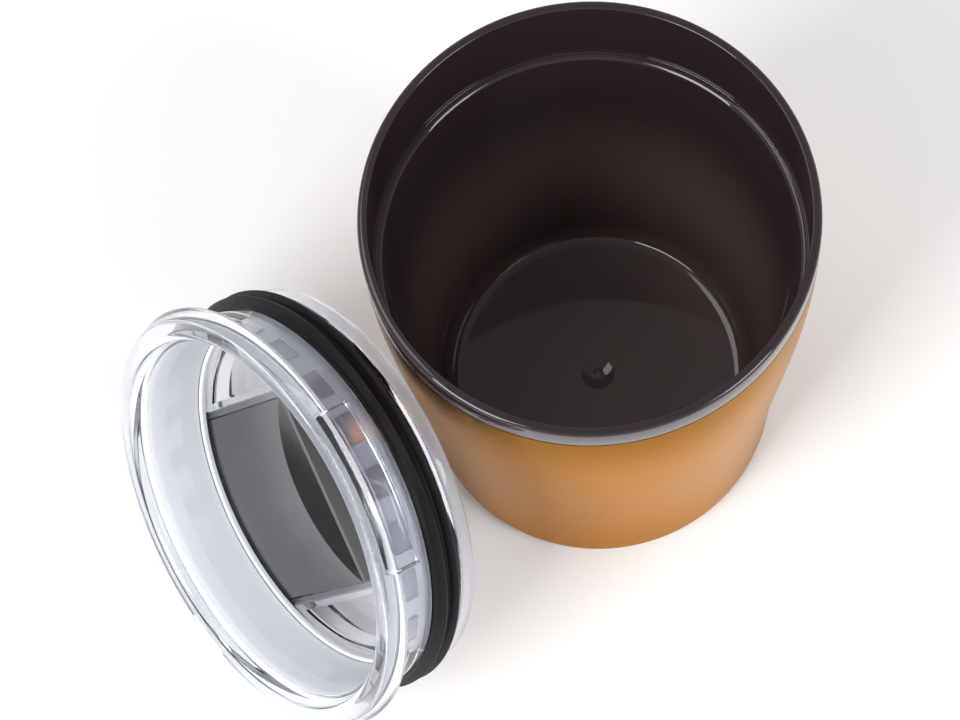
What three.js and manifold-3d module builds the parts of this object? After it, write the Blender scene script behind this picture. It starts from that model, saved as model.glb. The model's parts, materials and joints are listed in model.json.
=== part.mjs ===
// Insulated lowball tumbler with its press-in slide lid taken off.
//
// The tumbler stands on z = 0 with its axis on +Z and the origin at the centre of its base.
// The lid stands on its edge on the -X side and leans back against the tumbler's wall.
// Lid pieces are drawn in the lid's own frame: +Z out of the drinking side, z = 0 at the
// widest circle of the rim, +X along the slide's travel. Millimetres throughout.

import * as THREE from 'three';
import { mergeVertices } from 'three/addons/utils/BufferGeometryUtils.js';
import Module from 'manifold-3d';

const wasm = await Module();
wasm.setup();

// ---------- driving dimensions ----------

const SEGMENTS = 48;                 // facets round every turned piece
const GAP = 0.3;                     // clearance between neighbouring pieces

// Tumbler
const height = 107.3;
const mouthRadius = 44.5;            // outside of the plastic band and of the shell below it
const footRadius = 37.0;             // shell, just above its rounded bottom edge
const bandHeight = 5.9;              // plastic band that caps the shell
const shellWall = 0.6;
const footRound = 3.2;               // radius of the shell's bottom edge
const plateThickness = 0.8;
const seatRadius = 42.6;             // bore that the lid's plug enters
const seatDepth = 20.9;              // ledge that stops the plug, below the top
const ledgeRadius = 40.8;
const linerWall = 1.6;
const floorHeight = 10.2;            // top of the liner's floor
const floorRadius = 30.4;            // flat part of that floor
const floorRound = 2.4;
const gateRadius = 3.2;              // moulding mark at the middle of the floor

// Lid: radii, and depths below the widest circle of the rim
const rimRadius = 46.2;
const rimTop = 3.9;                  // height of the drinking edge above that circle
const flangeDepth = 0.5;             // underside that rests on the tumbler
const recessRadius = 38.0;           // foot of the recess wall
const recessDepth = 13.0;
const skirtRadius = 39.6;            // outside of the recess wall
const neckRadius = 42.0;
const neckWall = 2.1;
const grooveTop = 10.0;
const grooveBottom = 16.4;
const grooveRadius = 41.0;
const plugRadius = 42.15;
const plugDepth = 21.3;
const deckUnderside = 19.0;
const lipReach = 43.8;               // tips of the gasket's two lips
const tabHalfAngle = 21.5;           // degrees each side of +X
const tabReach = 47.8;
const tabTop = 2.6;                  // heights of its upper edge and of its ridge
const tabRidge = 0.7;
const tabDrop = 4.5;                 // depth of its lower edge

// Slide and its channel, in the lid's frame
const channelHalfWidth = 21.0;       // between the two retaining ribs
const tongueReach = 1.6;             // how far the slide runs in under each rib
const tongueTop = 14.8;
const channelFloor = 17.7;
const channelRadius = 38.9;          // closed end, tucked under the recess wall
const channelEnd = 34.0;             // open end
const slideTop = 13.5;
const slideEnd = 14.0;               // where the slide stops short of the open end
const ribWidth = 2.9;
const pocketRadius = 35.2;
const scoopEdge = 2.5;               // straight side of the thumb scoop
const scoopRadius = 27.0;            // rounded side of the scoop, in plan
const scoopSphere = 75.0;
const holeCentre = 31.0;             // drinking hole: two half circles, apart across the travel
const holeSpread = 6.0;
const holeRadius = 4.0;

// Where the lid stands
const lidTilt = 23.5;                // degrees that its axis rises above the table
const lidSpin = -24.0;               // degrees that the slide's travel is turned from upright
const lidCentre = new THREE.Vector3(-79.5, 4.5, 46.7);

// ---------- materials ----------

const copper = new THREE.MeshStandardMaterial({ color: 0xc98a4b, roughness: 0.32, metalness: 0.9 });
const steel = new THREE.MeshStandardMaterial({ color: 0xb9b6b0, roughness: 0.4, metalness: 1 });
const blackPlastic = new THREE.MeshStandardMaterial({ color: 0x261c1e, roughness: 0.22 });
const blackSilicone = new THREE.MeshStandardMaterial({ color: 0x242426, roughness: 0.6 });
const greyPlastic = new THREE.MeshStandardMaterial({ color: 0x4c4a50, roughness: 0.42 });
const clearPlastic = new THREE.MeshStandardMaterial({
  color: 0xe2e6ee,
  roughness: 0.05,
  transparent: true,
  opacity: 0.35,
});

// ---------- geometry helpers ----------

const radians = THREE.MathUtils.degToRad;
const point = (radius, z) => new THREE.Vector2(radius, z);

// Points along an arc of a profile, from one angle to another in degrees.
function arc(radius, z, bend, from, to, steps = 4) {
  return Array.from({ length: steps + 1 }, (_, i) => {
    const angle = radians(from + ((to - from) * i) / steps);
    return point(radius + bend * Math.cos(angle), z + bend * Math.sin(angle));
  });
}

// A closed solid from any geometry: shared vertices merged, collapsed triangles dropped,
// faces turned outwards.
function solidOf(geometry) {
  const bare = new THREE.BufferGeometry();
  bare.setAttribute('position', geometry.getAttribute('position').clone());
  bare.setIndex(geometry.getIndex());
  const merged = mergeVertices(bare, 1e-4);
  const vertices = merged.getAttribute('position').array;
  const index = merged.getIndex().array;
  const corner = (i) => new THREE.Vector3().fromArray(vertices, 3 * i);
  const triangles = [];
  let volume = 0;
  for (let i = 0; i < index.length; i += 3) {
    const [a, b, c] = index.slice(i, i + 3);
    if (a === b || b === c || c === a) continue;
    triangles.push([a, b, c]);
    volume += corner(a).dot(corner(b).cross(corner(c)));
  }
  const outward = volume > 0 ? triangles : triangles.map(([a, b, c]) => [a, c, b]);
  return new wasm.Manifold(new wasm.Mesh({
    numProp: 3,
    vertProperties: new Float32Array(vertices),
    triVerts: new Uint32Array(outward.flat()),
  }));
}

function geometryOf(solid) {
  const mesh = solid.getMesh();
  const geometry = new THREE.BufferGeometry();
  geometry.setAttribute('position', new THREE.BufferAttribute(mesh.vertProperties, 3));
  geometry.setIndex(new THREE.BufferAttribute(mesh.triVerts, 1));
  geometry.computeVertexNormals();
  return geometry;
}

// A profile of (radius, z) points turned about +Z.
function turned(profile) {
  return solidOf(new THREE.LatheGeometry(profile, SEGMENTS).rotateX(Math.PI / 2));
}

// A turned ring: its profile closes on itself.
function turnedRing(profile) {
  return turned([...profile, profile[0]]);
}

// A flat outline raised from one height to another.
function prism(shape, from, to) {
  const options = { depth: to - from, bevelEnabled: false, curveSegments: 12 };
  return solidOf(new THREE.ExtrudeGeometry(shape, options).translate(0, 0, from));
}

function outline(points) {
  return new THREE.Shape(points.map(([x, y]) => point(x, y)));
}

function named(name, solid, material) {
  const mesh = new THREE.Mesh(geometryOf(solid), material);
  mesh.name = name;
  return mesh;
}

// ---------- tumbler ----------

// Outside of the shell: upright under the band, then one long taper to the foot.
const shellTop = height - bandHeight - GAP;
const shellSide = new THREE.CubicBezierCurve(
  point(mouthRadius, shellTop),
  point(mouthRadius - 0.1, 0.65 * height),
  point(footRadius + 1.2, 0.37 * height),
  point(footRadius, footRound),
);

// Drawn steel tube, turned in round the bottom edge to take the base plate.
function outerShell() {
  const outside = shellSide.getPoints(9);
  const inside = outside.map((p) => point(p.x - shellWall, p.y)).reverse();
  const edge = footRadius - footRound;
  return turnedRing([
    ...outside,
    ...arc(edge, footRound, footRound, 0, -90).slice(1),
    point(edge, shellWall),
    ...arc(edge, footRound, footRound - shellWall, -90, 0).slice(1, -1),
    ...inside,
  ]);
}

// Pressed steel disc that closes the shell.
function basePlate() {
  const radius = footRadius - footRound - GAP;
  return turned([
    point(0, 0),
    point(radius - 0.3, 0),
    point(radius, 0.3),
    point(radius, plateThickness),
    point(0, plateThickness),
  ]);
}

// Moulded cup with a band that caps the shell and a collar that locates inside it.
const collarRadius = mouthRadius - shellWall - GAP;
const collarBottom = height - bandHeight - 8;
const sealGroove = { top: shellTop - 2.2, bottom: shellTop - 4.2, radius: collarRadius - 0.7 };

function innerLiner() {
  const ledge = height - seatDepth;
  const wallFoot = point(floorRadius + floorRound, floorHeight + floorRound);
  const outerFoot = point(wallFoot.x + linerWall, wallFoot.y);
  const bandBottom = height - bandHeight;
  return turned([
    // inside, from the gate mark up to the mouth
    point(0, floorHeight - 0.1),
    point(1.1, floorHeight - 0.1),
    point(1.5, floorHeight - 0.5),
    point(gateRadius - 0.4, floorHeight - 0.5),
    point(gateRadius, floorHeight),
    ...arc(floorRadius, wallFoot.y, floorRound, -90, 0),
    point(ledgeRadius, ledge - 1.2),
    ...arc(ledgeRadius + 1.2, ledge - 1.2, 1.2, 180, 90, 2).slice(1),
    point(seatRadius - 0.2, ledge),
    point(seatRadius, height - 0.6),
    point(seatRadius + 0.5, height),
    // over the lip and down the outside
    point(mouthRadius - 0.5, height),
    point(mouthRadius, height - 0.6),
    point(mouthRadius, bandBottom),
    point(collarRadius, bandBottom),
    point(collarRadius, sealGroove.top),
    point(sealGroove.radius, sealGroove.top),
    point(sealGroove.radius, sealGroove.bottom),
    point(collarRadius, sealGroove.bottom),
    point(collarRadius, collarBottom),
    point(seatRadius + 0.8, collarBottom - 1),
    point(seatRadius + 0.6, ledge - 1),
    point(ledgeRadius + linerWall, ledge - 3),
    outerFoot,
    ...arc(floorRadius, wallFoot.y, floorRound + linerWall, 0, -90).slice(1),
    point(0, floorHeight - linerWall),
  ]);
}

// Seal in the collar's groove, between liner and shell.
function linerSeal() {
  const inner = sealGroove.radius + 0.1;
  const outer = mouthRadius - shellWall - 0.1;
  const { top, bottom } = sealGroove;
  const crown = 0.35;
  return turnedRing([
    point(inner, bottom + 0.2),
    point(outer - 0.2, bottom + 0.2),
    point(outer, bottom + 0.2 + crown),
    point(outer, top - 0.2 - crown),
    point(outer - 0.2, top - 0.2),
    point(inner, top - 0.2),
  ]);
}

// ---------- lid ----------

// Clear upper shell: drinking edge, flange, and the wall round the recess.
function lidRim() {
  const wallTop = flangeDepth + 3;
  const rim = turnedRing([
    point(recessRadius, -recessDepth),
    point(recessRadius + 0.6, -wallTop),
    point(recessRadius + 1.4, rimTop - 2.0),
    point(recessRadius + 2.3, rimTop - 0.5),
    point(recessRadius + 4.2, rimTop),
    point(rimRadius - 1.8, rimTop - 0.6),
    point(rimRadius - 0.6, rimTop - 2.0),
    point(rimRadius, 0),
    point(rimRadius - 0.3, -flangeDepth),
    point(skirtRadius, -flangeDepth),
    point(skirtRadius, 0.3 - recessDepth),
    point(skirtRadius - 0.3, -recessDepth),
  ]);
  return rim.add(liftTab());
}

// Thumb tab: a wedge that stands out from the flank and drops over the tumbler's band.
function liftTab() {
  const inner = mouthRadius + GAP;
  const ring = turnedRing([
    point(inner, tabTop - 0.4),
    point(rimRadius - 0.5, tabTop),
    point(tabReach, tabRidge),
    point(tabReach, 0.4 - tabDrop),
    point(tabReach - 0.4, -tabDrop),
    point(inner, -tabDrop),
  ]);
  const half = radians(tabHalfAngle);
  const reach = 2 * rimRadius;
  const sector = outline([
    [0, 0],
    [reach * Math.cos(half), -reach * Math.sin(half)],
    [reach * Math.cos(half), reach * Math.sin(half)],
  ]);
  return ring.intersect(prism(sector, -tabDrop - 1, rimTop));
}

// Clear lower piece: neck, gasket groove, plug end and the deck that carries the slide.
function lidPlug() {
  const inner = neckRadius - neckWall;
  const body = turned([
    point(0, -deckUnderside),
    point(plugRadius - 3.9, -deckUnderside),
    point(plugRadius - 3.6, -plugDepth),
    point(plugRadius - 0.9, -plugDepth),
    point(plugRadius - 0.25, 0.6 - plugDepth),
    point(plugRadius, 1.5 - plugDepth),
    point(plugRadius, -grooveBottom),
    point(grooveRadius, -grooveBottom),
    point(grooveRadius, -grooveTop),
    point(neckRadius, -grooveTop),
    point(neckRadius, -flangeDepth - GAP),
    point(inner, -flangeDepth - GAP),
    point(inner, -recessDepth - GAP),
    point(0, -recessDepth - GAP),
  ]);
  const cuts = [channel(), ...[1, -1].map(deckPocket), drinkingHole()];
  return cuts.reduce((solid, cut) => solid.subtract(cut), body);
}

// Outline that fills the lid's width between two sides and is closed by an arc at -X.
function stripOutline(halfWidth, radius, end) {
  const angle = Math.asin(halfWidth / radius);
  const shape = new THREE.Shape();
  shape.moveTo(end, -halfWidth);
  shape.lineTo(end, halfWidth);
  shape.lineTo(-radius * Math.cos(angle), halfWidth);
  shape.absarc(0, 0, radius, Math.PI - angle, Math.PI + angle, false);
  return shape;
}

// Channel for the slide: narrower at the top, where two ribs hold the slide down.
function channel() {
  const wide = channelHalfWidth + tongueReach;
  const mouth = prism(stripOutline(channelHalfWidth, channelRadius, channelEnd), -tongueTop, -recessDepth);
  const run = prism(stripOutline(wide, channelRadius, channelEnd - 2), -channelFloor, -tongueTop);
  return mouth.add(run);
}

// D-shaped pocket beside the channel, inside a border.
function deckPocket(side) {
  const straight = channelHalfWidth + ribWidth;
  const angle = Math.asin(straight / pocketRadius);
  const shape = new THREE.Shape();
  shape.absarc(0, 0, pocketRadius, angle, Math.PI - angle, false);
  const pocket = new THREE.ExtrudeGeometry(shape, { depth: 5, bevelEnabled: false, curveSegments: 12 });
  pocket.translate(0, 0, -channelFloor);
  return solidOf(side > 0 ? pocket : pocket.rotateZ(Math.PI));
}

// Oblong hole through the deck under the closed end of the slide.
function drinkingHole() {
  const shape = new THREE.Shape();
  shape.absarc(-holeCentre, holeSpread, holeRadius, 0, Math.PI, false);
  shape.absarc(-holeCentre, -holeSpread, holeRadius, Math.PI, 2 * Math.PI, false);
  return prism(shape, -deckUnderside - 1, 1 - channelFloor);
}

// Sliding closure: a thick plate on two tongues, with a thumb scoop near the middle.
function slideClosure() {
  const radius = channelRadius - GAP;
  const half = channelHalfWidth - GAP;
  const bottom = GAP - channelFloor;
  const tongues = prism(stripOutline(half + tongueReach, radius, slideEnd), bottom, -tongueTop - GAP);
  const plate = prism(stripOutline(half, radius, slideEnd), bottom, -slideTop);
  return plate.add(tongues).subtract(thumbScoop());
}

// Scoop: a shallow spherical dish cut off straight on the side the thumb pushes against.
function thumbScoop() {
  const centreX = scoopEdge + Math.sqrt(scoopRadius ** 2 - channelHalfWidth ** 2);
  const rise = Math.sqrt(scoopSphere ** 2 - scoopRadius ** 2);
  const sphere = new THREE.SphereGeometry(scoopSphere, 96, 64);
  sphere.rotateX(Math.PI / 2).translate(centreX, 0, rise - slideTop);
  const far = centreX - scoopRadius - 1;
  const region = outline([
    [far, -channelHalfWidth],
    [scoopEdge, -channelHalfWidth],
    [scoopEdge, channelHalfWidth],
    [far, channelHalfWidth],
  ]);
  return solidOf(sphere).intersect(prism(region, -slideTop - 4, 1 - slideTop));
}

// Twin-lip silicone gasket in the plug's groove.
function lidGasket() {
  const inner = grooveRadius + GAP;
  const root = neckRadius + 0.1;
  const lip = (tip) => [
    point(root, 0.9 - tip),
    point(lipReach, -tip),
    point(lipReach - 0.2, -tip - 0.5),
    point(root + 0.3, -tip - 0.6),
  ];
  return turnedRing([
    point(inner, GAP - grooveBottom),
    point(inner, -grooveTop - GAP),
    point(root, -grooveTop - GAP),
    ...lip(12.2),
    ...lip(15.2),
    point(root, GAP - grooveBottom),
  ]);
}

// ---------- assembly ----------

const tumbler = new THREE.Group();
tumbler.add(
  named('outer_shell', outerShell(), copper),
  named('base_plate', basePlate(), steel),
  named('inner_liner', innerLiner(), blackPlastic),
  named('liner_seal', linerSeal(), blackSilicone),
);

const lid = new THREE.Group();
lid.position.copy(lidCentre);
lid.rotation.set(0, radians(lidTilt - 90), radians(lidSpin));
lid.add(
  named('lid_rim', lidRim(), clearPlastic),
  named('lid_plug', lidPlug(), clearPlastic),
  named('slide_closure', slideClosure(), greyPlastic),
  named('lid_gasket', lidGasket(), blackSilicone),
);

const object = new THREE.Group();
object.add(tumbler, lid);

export default object;
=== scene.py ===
"""A lowball tumbler with a copper-coloured shell and, leaning on it, its clear slide lid."""

import json
import math

import bmesh
import bpy
from mathutils import Matrix, Vector


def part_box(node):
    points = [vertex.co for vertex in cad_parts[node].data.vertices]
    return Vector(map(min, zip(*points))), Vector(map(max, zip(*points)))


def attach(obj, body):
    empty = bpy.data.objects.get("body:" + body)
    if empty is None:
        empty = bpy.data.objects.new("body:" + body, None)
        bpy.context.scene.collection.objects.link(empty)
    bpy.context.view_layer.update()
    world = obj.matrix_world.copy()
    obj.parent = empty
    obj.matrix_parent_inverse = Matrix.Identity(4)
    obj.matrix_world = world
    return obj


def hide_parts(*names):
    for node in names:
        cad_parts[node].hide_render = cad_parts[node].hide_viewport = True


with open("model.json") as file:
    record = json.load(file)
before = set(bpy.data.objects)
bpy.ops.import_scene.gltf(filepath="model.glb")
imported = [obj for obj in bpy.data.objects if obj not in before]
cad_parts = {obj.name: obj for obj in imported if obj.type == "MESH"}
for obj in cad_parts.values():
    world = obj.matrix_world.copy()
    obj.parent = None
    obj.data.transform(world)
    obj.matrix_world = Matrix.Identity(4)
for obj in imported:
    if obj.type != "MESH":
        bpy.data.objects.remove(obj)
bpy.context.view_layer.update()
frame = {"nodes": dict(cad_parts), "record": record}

MM = 0.001


# ---------- sizes in millimetres, from the frame where it gives them ----------

def joint_axis(name):
    """Direction in which a sliding joint opens."""
    joints = frame["record"]["behaviour"]["joints"]
    return Vector(next(j["axis"] for j in joints if j["name"] == name)).normalized()


def span(node, axis):
    """Lowest and highest place of a CAD node along an axis, in millimetres."""
    along = [v.co.dot(axis) / MM for v in frame["nodes"][node].data.vertices]
    return min(along), max(along)


def middle(node, axis):
    """Halfway between a node's lowest and highest place along an axis."""
    return sum(span(node, axis)) / 2


# Tumbler
mouth_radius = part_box("outer_shell")[1].x / MM
shell_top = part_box("outer_shell")[1].z / MM
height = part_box("inner_liner")[1].z / MM
plate_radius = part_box("base_plate")[1].x / MM
foot_round = 3.2
foot_radius = plate_radius + 0.3 + foot_round
shell_wall = 0.6
seat_radius = 42.6
seat_depth = 20.9
ledge_radius = 40.8
floor_height = 10.2
floor_radius = 30.4
gate_radius = 3.2

# Lid: its own frame has +Z out of the drinking side and +X along the slide's travel
lid_axis = joint_axis("lid_lift")
travel_axis = joint_axis("slide_open")
side_axis = lid_axis.cross(travel_axis)
plug_top = 0.8
lid_place = MM * (
    middle("lid_plug", travel_axis) * travel_axis
    + middle("lid_plug", side_axis) * side_axis
    + (span("lid_plug", lid_axis)[1] + plug_top) * lid_axis
)
lid_turn = Matrix((travel_axis, side_axis, lid_axis)).transposed().to_4x4()
LID = Matrix.Translation(lid_place) @ lid_turn

recess_radius = 38.0
recess_depth = 13.0
rim_radius = 46.2
rim_top = span("lid_rim", lid_axis)[1] - span("lid_plug", lid_axis)[1] - plug_top
skirt_radius = 39.2
lug_radius = 39.7
lug_top = 3.5
lug_bottom = 7.5
neck_radius = 42.0
groove_radius = 41.0
groove_top = 10.0
groove_bottom = 16.4
plug_radius = 42.15
plug_floor = 19.0
plug_end = 21.3
deck_top = 13.3
tab_half_angle = 21.5
tab_reach = 47.8
tab_top = 2.6
tab_ridge = 0.7
tab_drop = 4.5
channel_half = 21.0
channel_radius = 38.9
channel_end = 34.0
channel_floor = 17.7
run_top = 14.8
run_depth = 1.6
pocket_side = channel_half + 2.9
pocket_radius = 35.2
hole_centre = 31.0
hole_spread = 6.0
hole_radius = 4.0
slide_gap = 0.3
slide_top = 13.5
slide_bottom = channel_floor - slide_gap
slide_end = 14.0
scoop_edge = 2.5
scoop_radius = 27.0
scoop_sphere = 75.0
lip_radius = 43.8


# ---------- mesh helpers ----------

def rounded(corners, steps=6):
    """A profile from (radius, z) corners; a third number rounds that corner."""
    count = len(corners)
    points = []
    for i, corner in enumerate(corners):
        here = Vector(corner[:2])
        bend = corner[2] if len(corner) > 2 else 0
        if not bend:
            points.append(here)
            continue
        before = (Vector(corners[i - 1][:2]) - here).normalized()
        after = (Vector(corners[(i + 1) % count][:2]) - here).normalized()
        half = before.angle(after) / 2
        reach = bend / math.tan(half)
        centre = here + (before + after).normalized() * (bend / math.sin(half))
        start = here + before * reach - centre
        sweep = (here + after * reach - centre).angle_signed(start)
        for k in range(steps + 1):
            points.append(centre + Matrix.Rotation(sweep * k / steps, 2) @ start)
    return points


def arc(x, y, radius, start, end, steps):
    """Points along an arc, from one angle to another in degrees."""
    angles = [math.radians(start + (end - start) * k / steps) for k in range(steps + 1)]
    return [Vector((x + radius * math.cos(a), y + radius * math.sin(a))) for a in angles]


def cleaned(mesh):
    """Merges points that meet and turns all faces outward."""
    bm = bmesh.new()
    bm.from_mesh(mesh)
    bmesh.ops.remove_doubles(bm, verts=bm.verts, dist=1e-4)
    bmesh.ops.recalc_face_normals(bm, faces=bm.faces)
    bm.to_mesh(mesh)
    bm.free()
    return mesh


def finished(name, mesh, matrix, sharp=35):
    """An object from a mesh in millimetres, smooth except along its sharp edges."""
    cleaned(mesh)
    mesh.transform(matrix @ Matrix.Diagonal((MM, MM, MM, 1)))
    mesh.shade_smooth()
    mesh.set_sharp_from_angle(angle=math.radians(sharp))
    obj = bpy.data.objects.new(name, mesh)
    bpy.context.scene.collection.objects.link(obj)
    return obj


def turned_mesh(name, profile, segments=160):
    """A profile of (radius, z) points turned about Z. It closes on itself or ends on the axis."""
    ring = [
        (math.cos(math.tau * k / segments), math.sin(math.tau * k / segments))
        for k in range(segments)
    ]
    vertices = [(c * p.x, s * p.x, p.y) for p in profile for c, s in ring]
    closed = profile[0].x > 1e-6
    rows = len(profile) if closed else len(profile) - 1
    faces = []
    for row in range(rows):
        below = row * segments
        above = (row + 1) % len(profile) * segments
        for k in range(segments):
            after = (k + 1) % segments
            faces.append((below + k, below + after, above + after, above + k))
    mesh = bpy.data.meshes.new(name)
    mesh.from_pydata(vertices, [], faces)
    return mesh


def prism_mesh(name, outline, low, high):
    """A flat outline of (x, y) points raised from one height to another."""
    count = len(outline)
    vertices = [(p.x, p.y, z) for z in (low, high) for p in outline]
    faces = [tuple(range(count)), tuple(range(count, 2 * count))]
    for k in range(count):
        after = (k + 1) % count
        faces.append((k, after, count + after, count + k))
    mesh = bpy.data.meshes.new(name)
    mesh.from_pydata(vertices, [], faces)
    return mesh


def combined(mesh, operation, others, bevel=0.0, limit=40):
    """A mesh with others cut out of it or joined to it, and its sharp edges rounded."""
    scene = bpy.context.scene.collection
    base = bpy.data.objects.new("base", cleaned(mesh))
    scene.objects.link(base)
    tools = []
    for other in others:
        tool = bpy.data.objects.new("tool", cleaned(other))
        scene.objects.link(tool)
        tools.append(tool)
        boolean = base.modifiers.new("boolean", "BOOLEAN")
        boolean.operation = operation
        boolean.solver = "EXACT"
        boolean.object = tool
    if bevel:
        rounding = base.modifiers.new("rounding", "BEVEL")
        rounding.width = bevel
        rounding.segments = 3
        rounding.limit_method = "ANGLE"
        rounding.angle_limit = math.radians(limit)
    result = bpy.data.meshes.new_from_object(
        base.evaluated_get(bpy.context.evaluated_depsgraph_get())
    )
    for obj in [base, *tools]:
        bpy.data.objects.remove(obj)
    return result


def dressed(obj, material, body, node):
    """Gives a piece its material and says what it stands for and moves with."""
    obj.data.materials.clear()
    obj.data.materials.append(material)
    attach(obj, body)
    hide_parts(node)
    return obj


# ---------- materials ----------

def shader(name, **settings):
    """A new material's Principled shader, with constants on its own sockets."""
    material = bpy.data.materials.new(name)
    material.use_nodes = True
    principled = material.node_tree.nodes["Principled BSDF"]
    for socket, value in settings.items():
        principled.inputs[socket.replace("_", " ")].default_value = value
    return material, principled


def noise(material, scale, detail=2.0, stretch=(1, 1, 1)):
    """Noise on the object's own coordinates, in metres; gives its factor output."""
    nodes, links = material.node_tree.nodes, material.node_tree.links
    place = nodes.new("ShaderNodeTexCoord")
    mapping = nodes.new("ShaderNodeMapping")
    mapping.inputs["Scale"].default_value = stretch
    texture = nodes.new("ShaderNodeTexNoise")
    texture.inputs["Scale"].default_value = scale
    texture.inputs["Detail"].default_value = detail
    links.new(place.outputs["Object"], mapping.inputs["Vector"])
    links.new(mapping.outputs["Vector"], texture.inputs["Vector"])
    return texture.outputs["Fac"]


def ranged(material, factor, low, high):
    """Maps a factor from about 0.3..0.7 to low..high."""
    node = material.node_tree.nodes.new("ShaderNodeMapRange")
    node.inputs["From Min"].default_value = 0.3
    node.inputs["From Max"].default_value = 0.7
    node.inputs["To Min"].default_value = low
    node.inputs["To Max"].default_value = high
    material.node_tree.links.new(factor, node.inputs["Value"])
    return node.outputs["Result"]


def tinted(material, factor, dark, light):
    """Mixes two colours by a factor."""
    node = material.node_tree.nodes.new("ShaderNodeMix")
    node.data_type = "RGBA"
    node.inputs[6].default_value = (*dark, 1)
    node.inputs[7].default_value = (*light, 1)
    material.node_tree.links.new(factor, node.inputs[0])
    return node.outputs[2]


def raised(material, start, end):
    """A factor that goes from 0 to 1 between two heights on the object, in millimetres."""
    nodes, links = material.node_tree.nodes, material.node_tree.links
    place = nodes.new("ShaderNodeTexCoord")
    axes = nodes.new("ShaderNodeSeparateXYZ")
    node = nodes.new("ShaderNodeMapRange")
    node.interpolation_type = "SMOOTHSTEP"
    node.inputs["From Min"].default_value = start * MM
    node.inputs["From Max"].default_value = end * MM
    links.new(place.outputs["Object"], axes.inputs["Vector"])
    links.new(axes.outputs["Z"], node.inputs["Value"])
    return node.outputs["Result"]


def bumped(material, principled, factor, distance, strength):
    """Lets a factor raise the surface by a small distance, in metres."""
    node = material.node_tree.nodes.new("ShaderNodeBump")
    node.inputs["Distance"].default_value = distance
    node.inputs["Strength"].default_value = strength
    material.node_tree.links.new(factor, node.inputs["Height"])
    material.node_tree.links.new(node.outputs["Normal"], principled.inputs["Normal"])


def copper_lacquer():
    """Satin metal flake, with painted shade that darkens the colour under the band."""
    material, principled = shader("copper_lacquer", Metallic=1.0, Specular_Tint=(0.94, 0.70, 0.44, 1))
    links = material.node_tree.links
    # Painted shade: the colour darkens over the top 28 mm up to the band, standing in for the dimmer
    # reflection there.
    painted_shade_under_band = raised(material, shell_top - 28, shell_top + 2)
    colour = tinted(material, painted_shade_under_band, (0.39, 0.166, 0.050), (0.225, 0.090, 0.029))
    links.new(colour, principled.inputs["Base Color"])
    flakes = noise(material, 2600, 1.0)
    links.new(ranged(material, flakes, 0.19, 0.25), principled.inputs["Roughness"])
    bumped(material, principled, flakes, 0.00001, 0.3)
    return material


def bare_steel():
    """Brushed steel, with fine lines one way."""
    material, principled = shader("bare_steel", Metallic=1.0)
    links = material.node_tree.links
    lines = noise(material, 400, 3.0, (1, 14, 1))
    colour = tinted(material, lines, (0.50, 0.49, 0.47), (0.64, 0.62, 0.60))
    links.new(colour, principled.inputs["Base Color"])
    links.new(ranged(material, lines, 0.28, 0.42), principled.inputs["Roughness"])
    bumped(material, principled, lines, 0.00002, 0.3)
    return material


def black_plastic():
    """Glossy brown-black, darkest at the rim, with painted light that makes it paler down inside."""
    material, principled = shader("black_plastic", IOR=1.5)
    links = material.node_tree.links
    # Painted light: the colour turns paler from two thirds of the height downward, standing in for light
    # on the deep walls and floor.
    depth = raised(material, 0.68 * height, 0.25 * height)
    colour = tinted(material, depth, (0.024, 0.0155, 0.0165), (0.140, 0.092, 0.090))
    links.new(colour, principled.inputs["Base Color"])
    cloud = noise(material, 60, 3.0)
    links.new(ranged(material, cloud, 0.02, 0.05), principled.inputs["Roughness"])
    bumped(material, principled, cloud, 0.00001, 0.05)
    return material


def clear_plastic(name, transmission, rough):
    """Clear moulding, polished or frosted, with a little haze that varies."""
    material, principled = shader(name, Transmission_Weight=transmission, IOR=1.49)
    links = material.node_tree.links
    haze = noise(material, 120, 2.0)
    colour = tinted(material, haze, (0.89, 0.915, 0.975), (0.915, 0.935, 0.985))
    links.new(colour, principled.inputs["Base Color"])
    links.new(ranged(material, haze, rough, rough + 0.04), principled.inputs["Roughness"])
    return material


def grey_plastic():
    """Satin dark grey moulding."""
    material, principled = shader("grey_plastic", IOR=2.0)
    links = material.node_tree.links
    grain = noise(material, 350, 2.0)
    colour = tinted(material, grain, (0.021, 0.0205, 0.0235), (0.025, 0.0245, 0.0275))
    links.new(colour, principled.inputs["Base Color"])
    links.new(ranged(material, grain, 0.17, 0.20), principled.inputs["Roughness"])
    bumped(material, principled, grain, 0.00001, 0.05)
    return material


def black_silicone():
    """Dull black rubber."""
    material, principled = shader("black_silicone", IOR=1.42, Specular_IOR_Level=0.3)
    links = material.node_tree.links
    grain = noise(material, 700, 3.0)
    colour = tinted(material, grain, (0.004, 0.004, 0.0045), (0.007, 0.007, 0.008))
    links.new(colour, principled.inputs["Base Color"])
    links.new(ranged(material, grain, 0.42, 0.55), principled.inputs["Roughness"])
    bumped(material, principled, grain, 0.00002, 0.3)
    return material


COPPER = copper_lacquer()
STEEL = bare_steel()
LINER = black_plastic()
CLEAR = clear_plastic("clear_plastic", 1.0, 0.0)
FROSTED = clear_plastic("frosted_plastic", 0.15, 0.35)
GREY = grey_plastic()
SILICONE = black_silicone()


# ---------- tumbler ----------

def shell_side(steps=40):
    """Outside of the shell: upright under the band, then one long taper to the foot."""
    top = Vector((mouth_radius, shell_top))
    upper = Vector((mouth_radius - 0.1, 0.65 * height))
    lower = Vector((foot_radius + 1.2, 0.37 * height))
    foot = Vector((foot_radius, foot_round))
    points = []
    for k in range(steps + 1):
        t = k / steps
        s = 1 - t
        points.append(s**3 * top + 3 * s * s * t * upper + 3 * s * t * t * lower + t**3 * foot)
    return points


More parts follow.
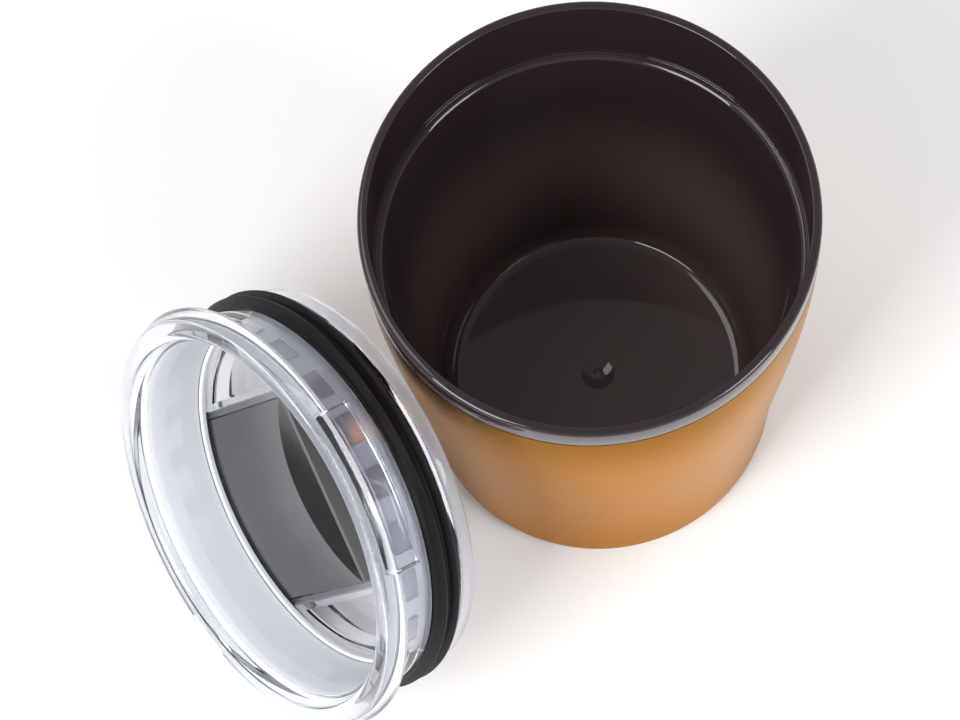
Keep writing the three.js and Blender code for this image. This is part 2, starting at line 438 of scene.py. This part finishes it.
def outer_shell():
    """Thin drawn wall with a rounded foot that turns in to the base plate."""
    outside = shell_side()
    inside = [Vector((p.x - shell_wall, p.y)) for p in reversed(outside)]
    edge = foot_radius - foot_round
    profile = [
        *outside,
        *arc(edge, foot_round, foot_round, 0, -90, 8)[1:],
        Vector((edge, shell_wall)),
        *arc(edge, foot_round, foot_round - shell_wall, -90, 0, 8)[1:-1],
        *inside,
    ]
    obj = finished("shell", turned_mesh("shell", profile), Matrix())
    return dressed(obj, COPPER, "tumbler", "outer_shell")


def inner_liner():
    """Moulded cup: band over the shell, seat for the lid, ledge, and a gate mark on its floor."""
    ledge = height - seat_depth
    band_bottom = shell_top + 0.3
    collar = mouth_radius - shell_wall - 0.3
    wall = 1.6
    profile = rounded([
        (0, floor_height - 0.15),
        (0.7, floor_height - 0.15, 0.2),
        (1.2, floor_height - 0.28, 0.3),
        (gate_radius, floor_height - 0.1),
        (gate_radius + 0.3, floor_height, 0.1),
        (floor_radius + 2.2, floor_height, 4.0),
        (ledge_radius, ledge, 1.3),
        (seat_radius - 0.2, ledge, 0.2),
        (seat_radius, height, 0.35),
        (mouth_radius, height, 0.8),
        (mouth_radius, band_bottom, 0.15),
        (collar, band_bottom),
        (collar, band_bottom - 7, 0.3),
        (seat_radius + 0.6, ledge - 1),
        (ledge_radius + wall, ledge - 3),
        (floor_radius + 2.2 + wall, floor_height - wall, 4.0),
        (0, floor_height - wall),
    ])
    obj = finished("liner", turned_mesh("liner", profile, 192), Matrix())
    return dressed(obj, LINER, "tumbler", "inner_liner")


# ---------- lid ----------

def lid_rim():
    """Drinking edge, flange and recess wall, with the thumb tab and lugs. The wall is frosted."""
    profile = rounded([
        (recess_radius - 0.9, -recess_depth, 0.15),
        (recess_radius - 0.8, 1.0 - recess_depth, 0.3),
        (recess_radius + 0.05, 1.2 - recess_depth, 0.2),
        (recess_radius + 0.6, -3.5, 3.0),
        (recess_radius + 1.3, 0.8, 0.2),
        (recess_radius + 2.0, 1.0, 0.2),
        (recess_radius + 2.3, rim_top - 0.1, 1.9),
        (rim_radius - 1.5, rim_top - 0.3, 0.9),
        (rim_radius, 0.3, 0.3),
        (rim_radius - 0.1, -0.5, 0.2),
        (skirt_radius, -0.5, 0.1),
        (skirt_radius, -recess_depth, 0.3),
    ])
    mesh = combined(turned_mesh("rim", profile), "UNION", [lift_tab(), snap_lugs()])
    obj = finished("rim", mesh, LID)
    dressed(obj, CLEAR, "lid", "lid_rim")
    obj.data.materials.append(FROSTED)
    for polygon in obj.data.polygons:
        place = LID.inverted() @ polygon.center / MM
        radius = place.xy.length
        wall = 1.5 - recess_depth < place.z < 0.4 and radius < recess_radius + 1.3
        bead = radius < recess_radius - 0.3
        skirt = abs(radius - skirt_radius) < 0.1
        polygon.material_index = 1 if wall or bead or skirt else 0
    return obj


def lift_tab():
    """Thumb tab: a wedge that stands out from the rim's flank and drops over the tumbler's band."""
    inner = mouth_radius + 0.3
    ring = turned_mesh("ring", rounded([
        (inner, tab_top - 0.4),
        (rim_radius - 0.5, tab_top, 0.3),
        (tab_reach - 0.85, tab_top - 0.65, 1.4),
        (tab_reach, tab_ridge, 0.4),
        (tab_reach, -tab_drop, 0.5),
        (inner, -tab_drop, 0.2),
    ]), 240)
    half = math.radians(tab_half_angle)
    reach = 2 * rim_radius
    corner = Vector((reach * math.cos(half), reach * math.sin(half)))
    outline = [Vector((0, 0)), Vector((corner.x, -corner.y)), corner]
    sector = prism_mesh("sector", outline, -tab_drop - 1, tab_top + 1)
    return combined(ring, "INTERSECT", [sector], bevel=0.45)


def snap_lugs(count=22):
    """Low lugs round the outside of the recess wall, that locate it in the neck."""
    mesh = bpy.data.meshes.new("lugs")
    bm = bmesh.new()
    half = 100 / count
    for k in range(count):
        turn = 360 * k / count
        outline = [
            *arc(0, 0, lug_radius, turn - half, turn + half, 4),
            *arc(0, 0, skirt_radius - 0.4, turn + half, turn - half, 4),
        ]
        bm.from_mesh(prism_mesh("lug", outline, -lug_bottom, -lug_top))
    bm.to_mesh(mesh)
    bm.free()
    return mesh


def strip(half, radius, end):
    """Outline across the lid between two sides, closed by an arc at -X."""
    angle = math.degrees(math.asin(half / radius))
    return [Vector((end, -half)), Vector((end, half)), *arc(0, 0, radius, 180 - angle, 180 + angle, 24)]


def lid_plug():
    """Neck, gasket groove, plug and the deck with the slide's channel, two pockets and the hole."""
    inner = neck_radius - 2.1
    body = turned_mesh("plug", rounded([
        (0, -plug_floor),
        (plug_radius - 3.9, -plug_floor, 0.6),
        (plug_radius - 3.6, -plug_end, 0.3),
        (plug_radius, -plug_end, 1.4),
        (plug_radius, -groove_bottom, 0.3),
        (groove_radius, -groove_bottom),
        (groove_radius, -groove_top),
        (neck_radius, -groove_top, 0.3),
        (neck_radius, -plug_top, 0.3),
        (inner, -plug_top, 0.3),
        (inner, -deck_top, 0.8),
        (0, -deck_top),
    ]))
    above_deck = 1.3 - deck_top
    mouth = strip(channel_half, channel_radius, channel_end)
    run = strip(channel_half + run_depth, channel_radius, channel_end - 2)
    pocket_angle = math.degrees(math.asin(pocket_side / pocket_radius))
    pocket = arc(0, 0, pocket_radius, pocket_angle, 180 - pocket_angle, 32)
    far_pocket = [-p for p in pocket]
    hole = [
        *arc(-hole_centre, hole_spread, hole_radius, 0, 180, 12),
        *arc(-hole_centre, -hole_spread, hole_radius, 180, 360, 12),
    ]
    cuts = [
        prism_mesh("mouth", mouth, -run_top, above_deck),
        prism_mesh("run", run, -channel_floor, 0.01 - run_top),
        prism_mesh("pocket", pocket, -channel_floor, above_deck),
        prism_mesh("far_pocket", far_pocket, -channel_floor, above_deck),
        prism_mesh("hole", hole, -plug_floor - 1, 0.7 - channel_floor),
    ]
    mesh = combined(body, "DIFFERENCE", cuts)
    obj = finished("plug", mesh, LID)
    return dressed(obj, CLEAR, "lid", "lid_plug")


def slide_closure():
    """A thick plate on two side tongues that run in the channel."""
    half = channel_half - slide_gap
    radius = channel_radius - slide_gap
    plate = prism_mesh("plate", strip(half, radius, slide_end), -slide_bottom, -slide_top)
    wide = strip(half + run_depth, radius, slide_end)
    tongues = prism_mesh("tongues", wide, -slide_bottom, -run_top - slide_gap)
    whole = combined(plate, "UNION", [tongues])
    mesh = combined(whole, "DIFFERENCE", [thumb_scoop(), far_slope()], bevel=0.45, limit=11)
    obj = finished("slide", mesh, LID, 12)
    return dressed(obj, GREY, "slide", "slide_closure")


def thumb_scoop():
    """A shallow spherical dish, cut off straight on the side the thumb pushes against."""
    centre = scoop_edge + math.sqrt(scoop_radius**2 - channel_half**2)
    rise = math.sqrt(scoop_sphere**2 - scoop_radius**2) - slide_top
    bowl = arc(0, rise, scoop_sphere, -90, -60, 48)
    dish = turned_mesh("dish", [*bowl, Vector((0, 20))], 192)
    dish.transform(Matrix.Translation((centre, 0, 0)))
    side = channel_half + 1
    far = scoop_edge - 14
    outline = [
        Vector((far, -side)),
        Vector((scoop_edge, -side)),
        Vector((scoop_edge, side)),
        Vector((far, side)),
    ]
    region = prism_mesh("region", outline, -slide_top - 4, 1 - slide_top)
    return combined(dish, "INTERSECT", [region])


def far_slope():
    """What is cut off the plate where it falls away behind the scoop's edge."""
    start = scoop_edge + 1.2
    end = slide_end + 1
    fall = 2.5
    outline = [
        Vector((start, -slide_top)),
        Vector((end, -slide_top - fall)),
        Vector((end, 1 - slide_top)),
        Vector((start, 1 - slide_top)),
    ]
    side = channel_half + 4
    mesh = prism_mesh("slope", outline, -side, side)
    mesh.transform(Matrix.Rotation(math.radians(90), 4, "X"))
    return mesh


def lid_gasket():
    """A ring in the groove with two thin lips."""
    root = neck_radius + 0.1
    inner = groove_radius + 0.3
    top = -groove_top - 0.3
    bottom = 0.3 - groove_bottom
    lip_step = 3.0
    profile = [(inner, bottom), (inner, top), (root, top, 0.25)]
    for lip, bend in ((top - 1.0, 0.2), (top - 1.0 - lip_step, 0.1)):
        profile += [
            (root, lip, 0.3),
            (lip_radius, lip - 0.9, 0.15),
            (lip_radius - 0.2, lip - 1.4, 0.15),
            (root + 0.3, lip - 1.5, bend),
        ]
    profile = rounded([*profile, (root, bottom)], 4)
    obj = finished("gasket", turned_mesh("gasket", profile), LID, 50)
    return dressed(obj, SILICONE, "lid", "lid_gasket")


outer_shell()
inner_liner()
lid_rim()
lid_plug()
slide_closure()
lid_gasket()
for node, material in (("base_plate", STEEL), ("liner_seal", SILICONE)):
    frame["nodes"][node].data.materials.clear()
    frame["nodes"][node].data.materials.append(material)


# ---------- floor, light and camera ----------

# In metres and degrees
aim = Vector((-0.0255, 0.0043, height * MM / 2))
camera_azimuth = -27.15
camera_elevation = 71.36
camera_roll = -8.33
camera_distance = 0.7982
camera_lens = 147.2


def direction(azimuth, elevation):
    """From the object outward: azimuth 0 is its front, -90 its left."""
    a = math.radians(azimuth)
    e = math.radians(elevation)
    return Vector((math.sin(a) * math.cos(e), -math.cos(a) * math.cos(e), math.sin(e)))


def floor():
    """A wide white floor just under the object."""
    mesh = bpy.data.meshes.new("floor")
    size = 3.0
    corners = [(-size, -size, 0), (size, -size, 0), (size, size, 0), (-size, size, 0)]
    mesh.from_pydata(corners, [], [(0, 1, 2, 3)])
    obj = bpy.data.objects.new("floor", mesh)
    obj.location.z = -0.0002
    bpy.context.scene.collection.objects.link(obj)
    material, principled = shader("floor", Roughness=0.9)
    colour = tinted(material, noise(material, 3), (0.92, 0.92, 0.925), (0.94, 0.94, 0.94))
    material.node_tree.links.new(colour, principled.inputs["Base Color"])
    mesh.materials.append(material)


def softbox(name, azimuth, elevation, distance, width, depth, watts):
    """An area light aimed at the object."""
    data = bpy.data.lights.new(name, "AREA")
    data.shape = "RECTANGLE"
    data.size = width
    data.size_y = depth
    data.energy = watts
    obj = bpy.data.objects.new(name, data)
    back = direction(azimuth, elevation)
    obj.location = aim + back * distance
    obj.rotation_mode = "QUATERNION"
    obj.rotation_quaternion = back.to_track_quat("Z", "Y")
    bpy.context.scene.collection.objects.link(obj)


def camera():
    """Looks steeply down on the mouth, a little rolled."""
    data = bpy.data.cameras.new("camera")
    data.sensor_width = 36
    data.lens = camera_lens
    obj = bpy.data.objects.new("camera", data)
    back = direction(camera_azimuth, camera_elevation)
    roll = Matrix.Rotation(math.radians(camera_roll), 4, "Z")
    right = Vector((0, 0, 1)).cross(back).normalized()
    turn = Matrix((right, back.cross(right), back)).transposed().to_4x4()
    obj.matrix_world = Matrix.Translation(aim + back * camera_distance) @ turn @ roll
    bpy.context.scene.collection.objects.link(obj)
    bpy.context.scene.camera = obj


def surroundings(overhead, horizon):
    """A studio that is dim overhead and nearly white at the horizon and below it."""
    world = bpy.data.worlds.new("studio")
    world.use_nodes = True
    nodes, links = world.node_tree.nodes, world.node_tree.links
    place = nodes.new("ShaderNodeTexCoord")
    axes = nodes.new("ShaderNodeSeparateXYZ")
    level = nodes.new("ShaderNodeMapRange")
    level.inputs["To Min"].default_value = horizon
    level.inputs["To Max"].default_value = overhead
    links.new(place.outputs["Generated"], axes.inputs["Vector"])
    links.new(axes.outputs["Z"], level.inputs["Value"])
    links.new(level.outputs["Result"], nodes["Background"].inputs["Strength"])
    nodes["Background"].inputs["Color"].default_value = (1, 1, 1, 1)
    bpy.context.scene.world = world


def dark_card():
    """A black card that stands to the left for the slide's scoop to mirror, out of the camera's sight."""
    mesh = bpy.data.meshes.new("card")
    near, far, top = -0.08, 0.12, 0.105
    corners = [(0, near, 0), (0, far, 0), (0, far, top), (0, near, top)]
    mesh.from_pydata(corners, [], [(0, 1, 2, 3)])
    obj = bpy.data.objects.new("card", mesh)
    obj.location.x = -0.30
    obj.visible_camera = False
    bpy.context.scene.collection.objects.link(obj)
    material, _ = shader("card", Base_Color=(0.01, 0.01, 0.01, 1), Roughness=1.0)
    mesh.materials.append(material)


floor()
surroundings(0.3, 0.95)
dark_card()
softbox("main", -160, 66, 1.6, 0.6, 0.6, 3)
softbox("left", -80, 42, 1.2, 0.5, 0.75, 12)
softbox("right", 24, 40, 1.4, 0.43, 0.7, 8)
camera()
bpy.context.scene.view_settings.view_transform = "Standard"
